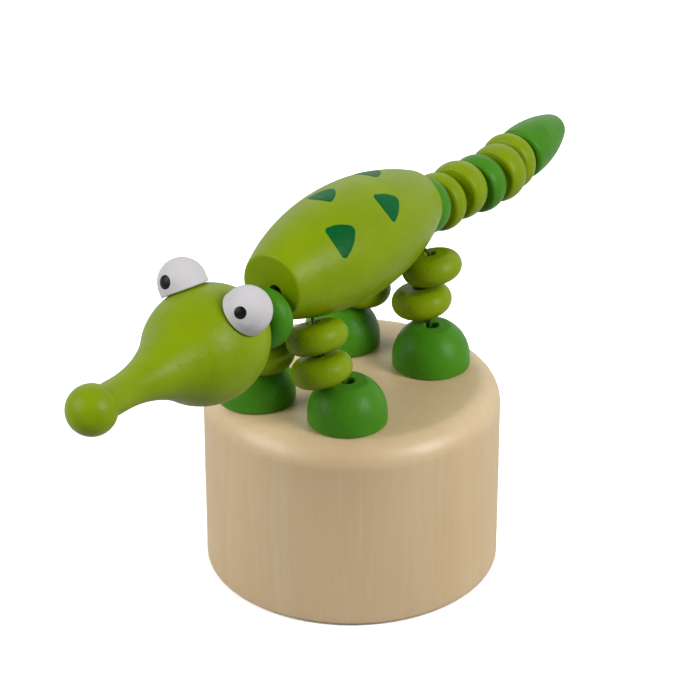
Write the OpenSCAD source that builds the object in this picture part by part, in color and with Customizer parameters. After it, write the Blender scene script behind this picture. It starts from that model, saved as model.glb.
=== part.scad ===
// Push puppet: a crocodile of turned wooden beads, strung on threads over a round wooden base.
// A sprung button under the base pulls the four threads tight, so the crocodile stands.
// Pressing the button lets the threads go slack, and the crocodile sags.
// Millimetres. +Z is up, the nose points toward -Y, the origin is the centre of the underside.

/* [Base] */
// Diameter of the base
base_d = 50; // [48.5:0.5:54]
// Height of the base
base_h = 33.5; // [32:0.5:40]
// Rounding of the base's top edge
base_round = 4.2; // [3:0.1:4.5]
// Wall around the button's bore
base_wall = 5; // [4:0.25:5]
// Thickness of the base's top
base_roof = 8; // [6.5:0.5:10]

/* [Button and spring] */
// Gap between the button and the bore, on the radius
button_fit = 0.4; // [0.3:0.05:0.6]
// Thickness of the button
button_h = 8; // [6.5:0.5:9]
// How far the button's underside sits above the table
button_recess = 1; // [0.5:0.25:2]
// Mean diameter of the spring's coil
spring_d = 15; // [12:0.5:17]
// Thickness of the spring's wire
spring_wire = 1; // [0.8:0.1:1.2]
// Number of turns in the spring
spring_turns = 5.5; // [4:0.5:6]

/* [Feet] */
// Diameter of a foot
foot_d = 13.2; // [13:0.1:13.6]
// Height of a foot
foot_h = 7.3; // [7:0.1:7.5]
// Height of the straight part of a foot's side
foot_side = 1.5; // [1.2:0.1:1.8]
// Diameter of the flat on a foot's top
foot_top_d = 6.6; // [6.2:0.1:7]
// Distance between the left and the right feet
leg_spread = 17; // [16.6:0.1:17.4]
// Distance of the front feet ahead of the middle, as a share of the base's diameter
front_share = 0.276; // [0.268:0.002:0.284]
// Distance of the rear feet behind the middle, as a share of the base's diameter
rear_share = 0.212; // [0.204:0.002:0.22]
// How far the left feet sit behind the right feet
leg_stagger = 2.2; // [1.8:0.1:2.6]

/* [Beads and threads] */
// Diameter of a bead
bead_d = 10.25; // [9.8:0.05:10.4]
// Thickness of a bead
bead_t = 4.9; // [4.6:0.05:5.1]
// Radius of the crown on a bead's faces
bead_crown = 40; // [34:1:60]
// Diameter of a hole for one thread
hole_d = 2.3; // [2.25:0.05:2.4]
// Diameter of a hole for two threads
pair_hole_d = 2.8; // [2.6:0.05:3]
// Thickness of a thread
thread_d = 0.5; // [0.4:0.05:0.5]
// Least gap between neighbouring leg beads
bead_gap = 0.25; // [0.25:0.05:0.4]
// Gap between neighbouring tail beads
tail_gap = 0.4; // [0.35:0.05:0.5]

/* [Body] */
// Length of the body
body_len = 40.7; // [40:0.1:41.4]
// Largest diameter of the body
body_d = 19.6; // [19.2:0.1:20]
// Diameter of the body's flat ends
body_end_d = 10.9; // [10.4:0.1:11.4]
// Diameter of the thread hole in each end of the body
body_hole_d = 2.4; // [2.3:0.05:2.6]

/* [Head] */
// Largest diameter of the head
head_d = 18.7; // [18.2:0.1:19.2]
// Half the length of the head's bulb
head_half = 11.4; // [11.1:0.1:11.7]
// Distance from the middle of the bulb to the middle of the nose
nose_reach = 28.1; // [27:0.1:29]
// Diameter of the snout at its thinnest
snout_d = 5.4; // [5:0.1:5.8]
// Diameter of the nose
nose_d = 7.9; // [7.4:0.1:8.4]
// Diameter of an eye
eye_d = 7.8; // [7.5:0.1:8]
// Angle of an eye from the crown of the head
eye_angle = 37.5; // [35:0.5:40]
// Diameter of the left pupil
pupil_left_d = 2.05; // [1.8:0.05:2.5]
// Diameter of the right pupil
pupil_right_d = 2.45; // [1.8:0.05:2.6]

/* [Tail] */
// Diameter of the tail tip at its root
tip_d = 9.4; // [9:0.1:9.8]
// Length of the tail tip
tip_len = 14.2; // [13:0.1:15]
// Rounding of the tail tip's end
tip_end_r = 2.9; // [2.5:0.1:3.2]

/* [Hidden] */
$fn = 64;
eps = 0.01;
edge_round = 0.8;

// Heights: the figure stands on the base, so everything above is stacked from base_h
bore_r = base_d / 2 - base_wall;
button_r = bore_r - button_fit;
button_top = button_recess + button_h;
roof_z = base_h - base_roof;
hole_r = hole_d / 2;
pair_hole_r = pair_hole_d / 2;
thread_r = thread_d / 2;
bead_r = bead_d / 2;

// A bead's rim is the circle that runs tangent into both crowned faces
rim_r = (bead_crown * bead_t - bead_t * bead_t / 4 - bead_r * bead_r) / (2 * (bead_crown - bead_r));
rim_x = bead_r - rim_r;
crown_edge = bead_crown * rim_x / (bead_crown - rim_r);

// Feet and legs in the order front left, front right, rear left, rear right
leg_front = base_d * front_share;
leg_rear = base_d * rear_share;
leg_shift = -0.4;
left_x = leg_shift + leg_spread / 2;
right_x = leg_shift - leg_spread / 2;
foot_xy = [
    [left_x, leg_stagger / 2 - leg_front],
    [right_x, -leg_stagger / 2 - leg_front],
    [left_x, leg_rear + leg_stagger / 2],
    [right_x, leg_rear - leg_stagger / 2]
];
foot_z = base_h + foot_h;
foot_r = foot_d / 2;
foot_fall = foot_r - foot_top_d / 2;
foot_arc = (pow(foot_h - foot_side, 2) + foot_fall * foot_fall) / (2 * foot_fall);

// The loosely strung leg beads sit off their feet and lean, as in the picture.
// Each row is the bead's offset from its foot in X and Y, its lift above a close stack,
// and its lean in X and Y.
low_sits = [
    [-2.5, -3.7, 0.12, -17, 0],
    [3.2, -1.9, 0.05, 3, -5],
    [-3, 1.45, 0.5, -8.5, -3],
    [2.5, 2.2, 0.15, 3, 2]
];
up_sits = [
    [-3.6, -3.4, 0.22, -21, 5],
    [2.95, -2, 0.15, 8, -3],
    [-1.8, 2.6, 0.85, -14, -2],
    [2.8, 3.7, 0.15, 7, 2]
];
low_axis = [for (s = low_sits) lean(s[3], s[4])];
up_axis = [for (s = up_sits) lean(s[3], s[4])];
low_c = [for (i = [0:3]) [
    foot_xy[i].x + low_sits[i][0],
    foot_xy[i].y + low_sits[i][1],
    foot_z + bead_t / 2 + bead_gap + low_sits[i][2]
]];
up_c = [for (i = [0:3]) [
    foot_xy[i].x + up_sits[i][0],
    foot_xy[i].y + up_sits[i][1],
    low_c[i].z + bead_t + bead_gap + up_sits[i][2]
]];

// Body: a barrel whose side is one arc; its height follows from the front left leg under it
body_y = -1.75;
body_r = body_d / 2;
body_sag = body_r - body_end_d / 2;
body_arc = (body_len * body_len / 4 + body_sag * body_sag) / (2 * body_sag);
body_front = body_y - body_len / 2;
body_rear = body_y + body_len / 2;
body_seat_gap = 0.85;
seat_r = bead_t / 2 + body_seat_gap + barrel_r(up_c[0].y - body_y);
body_z = up_c[0].z + sqrt(seat_r * seat_r - up_c[0].x * up_c[0].x);
body_hole_r = body_hole_d / 2;
body_hole = [0.3, 0, body_z - 0.2];
front_depth = 8.6;
rear_depth = 7.1;
join_over = 1.5;
front_join = body_hole + [0, body_front + front_depth, 0];
rear_join = body_hole + [0, body_rear - rear_depth, 0];
leg_join = [front_join, front_join, rear_join, rear_join];

// Neck bead and head: the head hangs a little below the body's axis, turned and tilted slightly
neck_slack = 0.75;
head_gap = 0.8;
neck_c = [0.7, body_front - neck_slack - bead_t / 2, body_z - 3.9];
neck_axis = ahead(9, 4);
head_axis = ahead(1.8, 2.6);
head_roll = 6.7;
head_back = 10.55;
head_end = neck_c + [-0.9, -bead_t / 2 - head_gap, 0.45];
head_c = head_end + head_axis * head_back;
head_side = [cos(1.8), sin(1.8), 0];
head_up = cross(head_axis, head_side);
roll_side = head_side * cos(head_roll) - head_up * sin(head_roll);
roll_up = head_up * cos(head_roll) + head_side * sin(head_roll);
head_r = head_d / 2;
head_hole_r = 1.5;
head_hole_len = 12;

// Head profile: an oval of four arcs, a hollow arc down to the snout, then the nose ball
bulb_end_r = 8.2;
bulb_end = head_half - bulb_end_r;
bulb_side_r = (head_r * head_r + bulb_end * bulb_end - bulb_end_r * bulb_end_r) / (2 * (head_r - bulb_end_r));
bulb_join = bulb_end + bulb_end_r * bulb_end / (bulb_side_r - bulb_end_r);
snout_r = snout_d / 2;
snout_arc = 26;
snout_flat = bulb_end + sqrt(pow(bulb_end_r + snout_arc, 2) - pow(snout_r + snout_arc, 2));
snout_start = bulb_end + bulb_end_r * (snout_flat - bulb_end) / (bulb_end_r + snout_arc);
nose_r = nose_d / 2;

// Eyes: balls cut flat, each on a flat seat in the head; the pupils look forward
eye_r = eye_d / 2;
eye_back_lean = -5.4;
eye_proud = 0.85;
eye_cut = 0.4;
eye_mid = head_r + eye_proud;
eye_seat = head_r - eye_cut;
eye_axis = [for (s = [1, -1])
    roll_up * cos(eye_angle) * cos(eye_back_lean)
    + roll_side * s * sin(eye_angle) * cos(eye_back_lean)
    + head_axis * sin(eye_back_lean)];
eye_c = [for (a = eye_axis) head_c + a * eye_mid];
look_lift = [19.5, 13.5];
look = [for (k = [0:1])
    eye_axis[k] * sin(look_lift[k]) + unit(across(head_axis, eye_axis[k])) * cos(look_lift[k])];
pupil_r = [pupil_left_d / 2, pupil_right_d / 2];
pupil_len = 1.5;
pupil_proud = 0.12;
pupil_dome = 2.4;

// Tail beads, from the body backward: offset in X and Z of each from the body's axis, and its turn and tilt
tail_sits = [
    [-0.6, -2.1, 0, 3],
    [-0.8, -3.4, 3, 1],
    [-0.2, -2.95, 5, 2],
    [0.45, -3.45, 2, -2],
    [1.1, -3.15, 0, 1],
    [0, -3.2, 3, 1]
];
tail_pitch = bead_t + tail_gap;
tail_c = [for (i = [0:5]) [
    tail_sits[i][0],
    body_rear + tail_gap + bead_t / 2 + tail_pitch * i,
    body_z + tail_sits[i][1]
]];
tail_axis = [for (s = tail_sits) -ahead(s[2], s[3])];
tip_root = tail_c[5] + [0.1, bead_t / 2 + tail_gap, 0.15];
tip_axis = -ahead(2, -5);
tip_hole_len = 8;

// Threads: each passes from bore to bore, keeping clear of every edge
pair_gap = 0.32;
slip = hole_r - thread_r - 0.1;
pair_slip = 0.7;
body_slip = body_hole_r - pair_gap - thread_r - 0.1;
knot_r = 1.1;
knot_pocket_r = 1.9;
knot_pocket_h = 3;
knot_z = button_recess + 1.6;
hop_reach = 0.6;
hop_rise = 0.45;
join_bend = 2.2;

function unit(v) = v / norm(v);
function lean(x, y) = unit([tan(x), tan(y), 1]);
function ahead(turn, tilt) = [sin(turn) * cos(tilt), -cos(turn) * cos(tilt), sin(tilt)];
function barrel_r(s) = body_r - body_arc + sqrt(body_arc * body_arc - s * s);
function limit(v, m) = norm(v) > m ? v * m / norm(v) : v;
function across(v, a) = v - a * (v * a);

// Four points that carry a thread out of one bore mouth and into the next, midway between the two faces
function hop(mouth_a, axis_a, slip_a, mouth_b, axis_b, slip_b, side) =
    let (shift = across(mouth_b - mouth_a, axis_a))
    let (a = mouth_a + limit(shift / 2, slip_a) + side)
    let (b = mouth_b - limit(shift / 2, slip_b) + side)
    let (gap_a = (mouth_b - a) * axis_b / (axis_a * axis_b))
    let (gap_b = (b - mouth_a) * axis_a / (axis_a * axis_b))
    [
        a - axis_a * hop_reach,
        a + axis_a * gap_a * hop_rise,
        b - axis_b * gap_b * hop_rise,
        b + axis_b * hop_reach
    ];

// Button, base hole, foot, both leg beads and the slanted hole up to the body's axis
function leg_route(i, side) =
    let (f = foot_xy[i])
    let (mouth = [f.x, f.y, foot_z])
    let (half = bead_t / 2)
    let (low_top = low_c[i] + low_axis[i] * half)
    let (up_foot = up_c[i] - up_axis[i] * half)
    let (top = up_c[i] + up_axis[i] * half)
    concat(
        [
            [f.x, f.y, knot_z - knot_r],
            [f.x, f.y, knot_z],
            [f.x, f.y, knot_z + knot_r],
            [f.x, f.y, roof_z],
            [f.x, f.y, base_h]
        ],
        hop(mouth, [0, 0, 1], slip, low_c[i] - low_axis[i] * half, low_axis[i], slip, [0, 0, 0]),
        hop(low_top, low_axis[i], slip, up_foot, up_axis[i], slip, [0, 0, 0]),
        [
            top - up_axis[i] * hop_reach,
            top,
            leg_join[i] - unit(leg_join[i] - top) * join_bend,
            leg_join[i] + side
        ]
    );

// From the body's front hole through the neck bead into the head
function neck_route(side) =
    let (mouth = body_hole + [0, body_front, 0])
    let (half = bead_t / 2)
    concat(
        hop(mouth, [0, -1, 0], body_slip, neck_c - neck_axis * half, neck_axis, pair_slip, side),
        hop(neck_c + neck_axis * half, neck_axis, pair_slip, head_end, head_axis, pair_slip, side),
        [head_end + head_axis * (head_hole_len - 1) + side]
    );

// From the body's rear hole through the six tail beads into the tail tip
function tail_route(side) =
    let (mouth = body_hole + [0, body_rear, 0])
    let (half = bead_t / 2)
    concat(
        hop(mouth, [0, 1, 0], body_slip, tail_c[0] - tail_axis[0] * half, tail_axis[0], pair_slip, side),
        [for (i = [0:4]) each hop(
            tail_c[i] + tail_axis[i] * half, tail_axis[i], pair_slip,
            tail_c[i + 1] - tail_axis[i + 1] * half, tail_axis[i + 1], pair_slip, side)],
        hop(tail_c[5] + tail_axis[5] * half, tail_axis[5], pair_slip, tip_root, tip_axis, pair_slip, side),
        [tip_root + tip_axis * (tip_hole_len - 1) + side]
    );

// A tube of given radii along a list of points, its rings carried along without twisting
function headings(p) = [for (i = [0:len(p) - 1])
    unit((i < len(p) - 1 ? unit(p[i + 1] - p[i]) : [0, 0, 0]) + (i > 0 ? unit(p[i] - p[i - 1]) : [0, 0, 0]))];
function carried(t, u, i) = i >= len(t) ? [] :
    let (w = unit(across(u, t[i])))
    concat([w], carried(t, w, i + 1));
module tube(p, r, sides) {
    t = headings(p);
    u = carried(t, [1, 0, 0], 0);
    n = len(p);
    points = [for (i = [0:n - 1]) for (j = [0:sides - 1])
        let (a = 360 * j / sides)
        p[i] + r[i] * (u[i] * cos(a) + cross(t[i], u[i]) * sin(a))];
    walls = [for (i = [0:n - 2]) for (j = [0:sides - 1])
        let (k = (j + 1) % sides)
        each [
            [i * sides + j, (i + 1) * sides + j, (i + 1) * sides + k],
            [i * sides + j, (i + 1) * sides + k, i * sides + k]
        ]];
    bottom = [for (j = [0:sides - 1]) j];
    top = [for (j = [0:sides - 1]) n * sides - 1 - j];
    polyhedron(points, concat(walls, [bottom, top]));
}

// Turns a shape made along +Z so that it points along a
module aim(c, a) {
    translate(c)
        rotate([0, acos(a.z), atan2(a.y, a.x)])
            children();
}

// One bead: crowned faces, round rim and a thread hole
module bead_shape(bore_r) {
    rotate_extrude()
        difference() {
            union() {
                intersection() {
                    translate([0, bead_t / 2 - bead_crown]) circle(bead_crown, $fn = 128);
                    translate([0, bead_crown - bead_t / 2]) circle(bead_crown, $fn = 128);
                    translate([0, -bead_t]) square([crown_edge, 2 * bead_t]);
                }
                translate([rim_x, 0]) circle(rim_r);
            }
            translate([-bead_d, -bead_t]) square([bead_d + bore_r, 2 * bead_t]);
        }
}

module bead_at(c, a, bore_r) {
    aim(c, a) bead_shape(bore_r);
}

// The base: a cup with its mouth down and four thread holes through its top
module base() {
    color([0.80, 0.68, 0.52])
        difference() {
            rotate_extrude($fn = 128)
                difference() {
                    union() {
                        square([base_d / 2 - base_round, base_h]);
                        translate([0, edge_round]) square([base_d / 2, base_h - base_round - edge_round]);
                        square([base_d / 2 - edge_round, base_h - base_round]);
                        translate([base_d / 2 - edge_round, edge_round]) circle(edge_round);
                        translate([base_d / 2 - base_round, base_h - base_round]) circle(base_round);
                    }
                    translate([0, -1]) square([bore_r, roof_z + 1]);
                }
            for (f = foot_xy)
                translate([f.x, f.y, roof_z - 1]) cylinder(h = base_roof + 2, r = hole_r);
        }
}

// The button: a plain disc with a thread hole and a knot pocket for each thread
module push_button() {
    color([0.78, 0.65, 0.48])
        difference() {
            rotate_extrude($fn = 128)
                union() {
                    translate([0, button_recess]) square([button_r - edge_round, button_h]);
                    translate([0, button_recess + edge_round]) square([button_r, button_h - 2 * edge_round]);
                    translate([button_r - edge_round, button_recess + edge_round]) circle(edge_round);
                    translate([button_r - edge_round, button_top - edge_round]) circle(edge_round);
                }
            for (f = foot_xy) {
                translate([f.x, f.y, 0]) cylinder(h = button_top + 1, r = hole_r);
                translate([f.x, f.y, 0]) cylinder(h = button_recess + knot_pocket_h, r = knot_pocket_r);
            }
        }
}

// The return spring: one wire wound from the button up to the base's top
spring_steps = round(spring_turns * 8);
spring_low = button_top + spring_wire / 2;
spring_rise = (roof_z - button_top - spring_wire) / spring_steps;
spring_path = [for (i = [0:spring_steps])
    [spring_d / 2 * cos(45 * i), spring_d / 2 * sin(45 * i), spring_low + spring_rise * i]];
echo(spring_gap_to_itself = spring_rise * 8 - spring_wire);
module return_spring() {
    color([0.72, 0.73, 0.75])
        tube(spring_path, [for (p = spring_path) spring_wire / 2], 6);
}

module foot(i) {
    color([0.20, 0.48, 0.10])
        translate([foot_xy[i].x, foot_xy[i].y, base_h])
            rotate_extrude()
                difference() {
                    union() {
                        square([foot_r, foot_side]);
                        intersection() {
                            translate([foot_r - foot_arc, foot_side]) circle(foot_arc, $fn = 128);
                            translate([0, foot_side]) square([foot_d, foot_h - foot_side]);
                        }
                    }
                    square([hole_d, 3 * foot_h], center = true);
                }
}

module lower_bead(i) {
    color([0.53, 0.62, 0.03]) bead_at(low_c[i], low_axis[i], hole_r);
}

module upper_bead(i) {
    color([0.53, 0.62, 0.03]) bead_at(up_c[i], up_axis[i], hole_r);
}

// The body: one arc turned about its axis, with a hole in each end and four slanted leg holes
module body() {
    color([0.53, 0.62, 0.03])
        difference() {
            translate([0, body_y, body_z])
                rotate([90, 0, 0])
                    rotate_extrude($fn = 96)
                        intersection() {
                            translate([body_r - body_arc, 0]) circle(body_arc, $fn = 256);
                            translate([0, -body_len / 2]) square([body_d, body_len]);
                        }
            translate(front_join + [0, join_over, 0])
                rotate([90, 0, 0])
                    cylinder(h = front_depth + join_over + 1, r = body_hole_r);
            translate(rear_join - [0, join_over, 0])
                rotate([-90, 0, 0])
                    cylinder(h = rear_depth + join_over + 1, r = body_hole_r);
            for (i = [0:3])
                aim(up_c[i] + up_axis[i] * bead_t / 2, unit(leg_join[i] - up_c[i] - up_axis[i] * bead_t / 2))
                    cylinder(h = norm(leg_join[i] - up_c[i] - up_axis[i] * bead_t / 2), r = hole_r);
        }
}

module neck_bead() {
    color([0.20, 0.48, 0.10]) bead_at(neck_c, neck_axis, pair_hole_r);
}

module head_profile() {
    difference() {
        union() {
            translate([0, -bulb_end]) circle(bulb_end_r);
            translate([0, bulb_end]) circle(bulb_end_r);
            intersection() {
                translate([head_r - bulb_side_r, 0]) circle(bulb_side_r, $fn = 128);
                translate([0, -bulb_join]) square([head_d, 2 * bulb_join]);
            }
            difference() {
                translate([0, bulb_end]) square([bulb_end_r, snout_flat - bulb_end]);
                translate([snout_r + snout_arc, snout_flat]) circle(snout_arc, $fn = 256);
                translate([0, bulb_end - eps]) square([bulb_end_r + 1, snout_start - bulb_end + eps]);
            }
            translate([0, snout_start - 1]) square([snout_r, nose_reach - snout_start + 1]);
            translate([0, nose_reach]) circle(nose_r);
        }
        translate([-2 * head_d, -2 * head_d]) square([2 * head_d, 6 * head_d]);
        translate([-head_d, -head_back - head_d]) square([2 * head_d, head_d]);
    }
}

// The head: turned in one piece, with a blind thread hole in its back and two flat eye seats
module head() {
    color([0.53, 0.62, 0.03])
        difference() {
            aim(head_c, head_axis) rotate_extrude($fn = 96) head_profile();
            aim(head_end - head_axis, head_axis) cylinder(h = head_hole_len + 1, r = head_hole_r);
            for (a = eye_axis)
                aim(head_c + a * eye_seat, a) cylinder(h = 3, r = eye_r);
        }
}

module eye(k) {
    color([0.86, 0.85, 0.86])
        difference() {
            aim(head_c, eye_axis[k])
                rotate_extrude()
                    intersection() {
                        translate([0, eye_mid]) circle(eye_r);
                        translate([0, eye_seat]) square([eye_d, eye_d]);
                    }
            aim(eye_c[k] + look[k] * (eye_r - pupil_len), look[k])
                cylinder(h = 2 * pupil_len, r = pupil_r[k], $fn = 32);
        }
}

// A pupil: a round peg set into the eye, its end slightly domed
module pupil(k) {
    color([0.05, 0.05, 0.05])
        aim(eye_c[k] + look[k] * (eye_r - pupil_len), look[k])
            rotate_extrude($fn = 32)
                intersection() {
                    translate([0, pupil_len + pupil_proud - pupil_dome]) circle(pupil_dome);
                    square([pupil_r[k], 2 * pupil_len]);
                }
}

module tail_bead(i, dark) {
    color(dark ? [0.20, 0.48, 0.10] : [0.53, 0.62, 0.03]) bead_at(tail_c[i], tail_axis[i], pair_hole_r);
}

// The tail tip: a bullet whose side arc runs tangent into its root edge and its ball end, with a blind hole
tip_r = tip_d / 2;
tip_edge = 0.9;
tip_side_r = 28;
module tip_profile() {
    root_mid = [tip_r - tip_edge, tip_edge];
    end_mid = [0, tip_len - tip_end_r];
    root_far = tip_side_r - tip_edge;
    end_far = tip_side_r - tip_end_r;
    d = norm(end_mid - root_mid);
    along = (root_far * root_far - end_far * end_far + d * d) / (2 * d);
    away = sqrt(root_far * root_far - along * along);
    dir = (end_mid - root_mid) / d;
    side_mid = root_mid + dir * along + [-dir.y, dir.x] * away;
    root_out = unit(root_mid - side_mid);
    end_out = unit(end_mid - side_mid);
    difference() {
        union() {
            translate(root_mid) circle(tip_edge, $fn = 32);
            translate(end_mid) circle(tip_end_r);
            intersection() {
                translate(side_mid) circle(tip_side_r, $fn = 256);
                polygon([
                    [0, 0], [root_mid.x, 0], root_mid,
                    root_mid + root_out * (tip_edge + 1), end_mid + end_out * (tip_end_r + 1), end_mid
                ]);
            }
        }
        translate([-tip_d, -1]) square([tip_d, tip_len + 2]);
        translate([0, -1]) square([pair_hole_r, tip_hole_len + 1]);
    }
}
module tail_tip() {
    color([0.20, 0.48, 0.10])
        aim(tip_root, tip_axis) rotate_extrude() tip_profile();
}

// A thread: knotted under the button, then bore to bore to the head or the tail tip
module thread(i, side) {
    route = concat(leg_route(i, side), i < 2 ? neck_route(side) : tail_route(side));
    color([0.12, 0.22, 0.08])
        tube(route, [for (k = [0:len(route) - 1]) k == 1 ? knot_r : k == 0 || k == 2 ? 0.5 : thread_r], 6);
}

left_strand = [pair_gap, 0, 0];
right_strand = [-pair_gap, 0, 0];
base();
push_button();
return_spring();
foot(0);  // foot_front_left
foot(1);  // foot_front_right
foot(2);  // foot_rear_left
foot(3);  // foot_rear_right
lower_bead(0);  // lower_bead_front_left
lower_bead(1);  // lower_bead_front_right
lower_bead(2);  // lower_bead_rear_left
lower_bead(3);  // lower_bead_rear_right
upper_bead(0);  // upper_bead_front_left
upper_bead(1);  // upper_bead_front_right
upper_bead(2);  // upper_bead_rear_left
upper_bead(3);  // upper_bead_rear_right
body();
neck_bead();
head();
eye(0);  // eye_left
eye(1);  // eye_right
pupil(0);  // pupil_left
pupil(1);  // pupil_right
tail_bead(0, true);  // tail_bead_1
tail_bead(1, false);  // tail_bead_2
tail_bead(2, false);  // tail_bead_3
tail_bead(3, true);  // tail_bead_4
tail_bead(4, false);  // tail_bead_5
tail_bead(5, false);  // tail_bead_6
tail_tip();
thread(0, left_strand);  // thread_front_left
thread(1, right_strand);  // thread_front_right
thread(2, left_strand);  // thread_rear_left
thread(3, right_strand);  // thread_rear_right
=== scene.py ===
import math

import bmesh
import bpy
import numpy as np
from mathutils import Matrix, Vector


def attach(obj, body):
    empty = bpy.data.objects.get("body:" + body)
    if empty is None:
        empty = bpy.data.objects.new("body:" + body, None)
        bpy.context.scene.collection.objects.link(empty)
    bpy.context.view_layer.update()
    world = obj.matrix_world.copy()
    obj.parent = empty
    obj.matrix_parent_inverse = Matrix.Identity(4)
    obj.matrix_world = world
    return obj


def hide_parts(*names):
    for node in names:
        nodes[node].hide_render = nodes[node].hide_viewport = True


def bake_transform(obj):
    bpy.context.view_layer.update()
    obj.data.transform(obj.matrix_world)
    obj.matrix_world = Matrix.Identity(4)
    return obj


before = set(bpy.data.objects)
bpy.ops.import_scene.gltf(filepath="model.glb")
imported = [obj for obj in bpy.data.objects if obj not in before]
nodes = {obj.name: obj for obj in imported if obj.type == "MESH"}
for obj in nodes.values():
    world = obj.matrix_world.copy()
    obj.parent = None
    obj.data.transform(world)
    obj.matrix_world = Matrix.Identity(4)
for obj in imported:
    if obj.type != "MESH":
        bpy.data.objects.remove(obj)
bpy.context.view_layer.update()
scene = bpy.context.scene
MM = 0.001

# Sizes of the CAD part, in millimetres
BASE_H = 33.5
BASE_R = 25.0
BASE_ROUND = 4.2
BASE_LOW_ROUND = 0.8
BORE_R = 20.0
ROOF_Z = 25.5
BUTTON_TOP = 9.0
SPRING_R = 7.5
WIRE_R = 0.5
SPRING_TURNS = 5.5
FOOT_H = 7.3
FOOT_R = 6.6
FOOT_SIDE = 1.5
FOOT_TOP_R = 3.3
HOLE_R = 1.15
PAIR_HOLE_R = 1.4
BEAD_R = 5.125
BEAD_T = 4.9
CROWN = 40.0
BEAD_GAP = 0.25
TAIL_GAP = 0.4
NECK_GAP = 0.75
HEAD_GAP = 0.8
BODY_Y = -1.75
BODY_LEN = 40.7
BODY_R = 9.8
BODY_END_R = 5.45
BODY_HOLE_R = 1.2
BODY_SEAT_GAP = 0.85
FRONT_JOIN_DEPTH = 8.6
REAR_JOIN_DEPTH = 7.1
JOIN_OVER = 1.5
HEAD_R = 9.35
HEAD_BACK = 10.55
HEAD_END_R = 8.2
HEAD_END_AT = 3.2
HEAD_HOLE_R = 1.5
HEAD_HOLE_LEN = 12.0
SNOUT_R = 2.7
SNOUT_HOLLOW_R = 26.0
NOSE_AT = 28.1
NOSE_R = 3.95
EYE_R = 3.9
EYE_PROUD = 0.85
EYE_SINK = 0.4
PUPIL_R = (1.025, 1.225)
TIP_R = 4.7
TIP_LEN = 14.2
TIP_END_R = 2.9
TIP_ROOT_ROUND = 0.9
TIP_SIDE_R = 28.0
TIP_HOLE_LEN = 8.0
THREAD_R = 0.25
THREAD_CLEAR = 0.1
PAIR_GAP = 0.32
PAIR_SLIP = 0.7
KNOT_Z = 2.6
LEGS = ("front_left", "front_right", "rear_left", "rear_right")
SIDES = ("left", "right")
TAIL_BEADS = 6
DARK_TAIL_BEADS = (0, 3)

# Sizes that only this scene has, in millimetres
BORE_CHAMFER = 0.3
HOLE_CHAMFER = 0.2
BEAD_CHAMFER = 0.16
PUPIL_DEPTH = 1.4
PUPIL_PROUD = 0.1
KNOT_R = 1.0
FOOT_LOW_ROUND = 0.45
BODY_END_ROUND = 0.4
EYE_LOW_CHAMFER = 0.15
# Each tail bead's crease between face and rim: its radius, and its height from the bead's middle
TAIL_CREASES = [(4.65, 1.95), (4.7, 1.65), (4.6, 2.2), (4.6, 2.05), (4.65, 2.1), (4.6, 1.7)]
# The photo shows the body's front hole lower and further left than the CAD part has it
FRONT_HOLE_SHIFT = np.array([0.55, 0, -0.42])

# Edges that turn by more than this, in degrees, are crisp; the tail beads' creases stay soft
CRISP_ANGLE = 32
TAIL_CRISP_ANGLE = 60


def unit(v):
    v = np.asarray(v, float)
    return v / np.linalg.norm(v)


def lean(x, y):
    """An axis near straight up that leans x degrees sideways and y degrees back."""
    return unit([math.tan(math.radians(x)), math.tan(math.radians(y)), 1])


def ahead(turn, tilt):
    """An axis near straight ahead, turned sideways and tilted up, in degrees."""
    t, p = math.radians(turn), math.radians(tilt)
    return np.array([math.sin(t) * math.cos(p), -math.cos(t) * math.cos(p), math.sin(p)])


def barrel_r(s):
    """Radius of the body's side at a distance s from its middle."""
    return BODY_R - BODY_ARC + math.sqrt(BODY_ARC ** 2 - s * s)


# Places of the pieces, worked out as in the CAD part
UP = np.array([0, 0, 1.0])
AXIS_Y = np.array([0, 1.0, 0])
HALF_BEAD = BEAD_T / 2
RIM_R = (CROWN * BEAD_T - BEAD_T ** 2 / 4 - BEAD_R ** 2) / (2 * (CROWN - BEAD_R))
RIM_X = BEAD_R - RIM_R
CROWN_EDGE = CROWN * RIM_X / (CROWN - RIM_R)
FOOT_XY = [(8.1, -12.7), (-8.9, -14.9), (8.1, 11.7), (-8.9, 9.5)]

# Each leg bead's place from its foot: sideways, back and up, then its lean sideways and back in degrees
LOW_SITS = [
    (-2.5, -3.7, 0.12, -17, 0),
    (3.2, -1.9, 0.05, 3, -5),
    (-3, 1.45, 0.5, -8.5, -3),
    (2.5, 2.2, 0.15, 3, 2),
]
UP_SITS = [
    (-3.6, -3.4, 0.22, -21, 5),
    (2.95, -2, 0.15, 8, -3),
    (-1.8, 2.6, 0.85, -14, -2),
    (2.8, 3.7, 0.15, 7, 2),
]
LOW_AXIS = [lean(s[3], s[4]) for s in LOW_SITS]
UP_AXIS = [lean(s[3], s[4]) for s in UP_SITS]
LOW_C = [np.array([f[0] + s[0], f[1] + s[1], BASE_H + FOOT_H + HALF_BEAD + BEAD_GAP + s[2]])
         for f, s in zip(FOOT_XY, LOW_SITS)]
UP_C = [np.array([f[0] + s[0], f[1] + s[1], c[2] + BEAD_T + BEAD_GAP + s[2]])
        for f, s, c in zip(FOOT_XY, UP_SITS, LOW_C)]

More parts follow.
